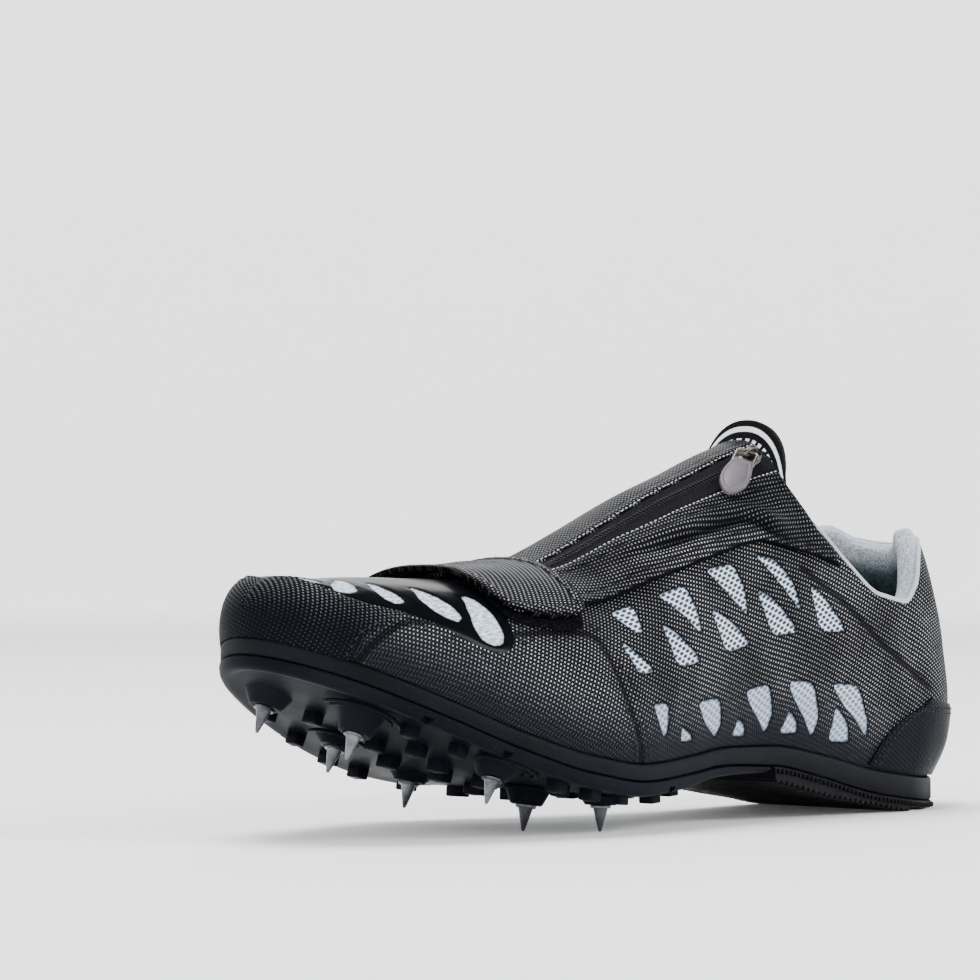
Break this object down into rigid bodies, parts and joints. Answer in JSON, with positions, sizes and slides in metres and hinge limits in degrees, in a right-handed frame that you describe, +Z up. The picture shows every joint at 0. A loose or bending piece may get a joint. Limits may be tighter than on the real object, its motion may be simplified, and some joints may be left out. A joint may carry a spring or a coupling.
{
  "type": "track spike shoe",
  "caption": "Low left-foot track spike shoe: zipped shroud over the instep, forefoot strap, stiff spiked forefoot plate with strong toe spring, padded collar and thin ribbed heel.",
  "frame": {"origin": "centre of the heel's flat spot, on the floor", "axes": "-X towards the toe, +X towards the heel, -Y towards the outer (lateral) side, +Y towards the inner (medial) side, +Z up"},
  "size_m": [0.28, 0.0983, 0.1171],
  "materials": {
    "upper_weave": "matte",
    "overlay_weave": "satin",
    "counter_film": "satin",
    "lining_cloth": "matte",
    "shroud_weave": "satin",
    "zip_cloth": "matte",
    "strap_weave": "satin",
    "tongue_cloth": "matte",
    "insole_cloth": "matte",
    "midsole_foam": "matte",
    "plate_nylon": "satin",
    "tread_rubber": "matte",
    "spike_steel": "satin",
    "zip_metal": "satin",
    "tab_plastic": "satin"
  },
  "bodies": {
    "shoe": {"upper": "upper_weave", "toe_panel": "overlay_weave", "heel_counter": "counter_film", "collar_lining": "lining_cloth", "shroud": "shroud_weave", "zip_tape": "zip_cloth", "forefoot_strap": "strap_weave", "tongue": "tongue_cloth", "insole": "insole_cloth", "midsole": "midsole_foam", "outsole_plate": "plate_nylon", "heel_tread": "tread_rubber", "spike_1": "spike_steel", "spike_2": "spike_steel", "spike_3": "spike_steel", "spike_4": "spike_steel", "spike_5": "spike_steel", "spike_6": "spike_steel", "spike_7": "spike_steel", "zip_slider": "zip_metal"},
    "zip_pull": {"pull_link": "zip_metal", "pull_tab": "tab_plastic"}
  },
  "joints": [
    {"name": "pull_hinge", "type": "hinge", "parent": "shoe", "child": "zip_pull", "pos_m": [-0.07438, -0.01646, 0.10674], "axis": [-0.5317, 0.7819, 0.3253], "range_deg": [0, 150]}
  ]
}
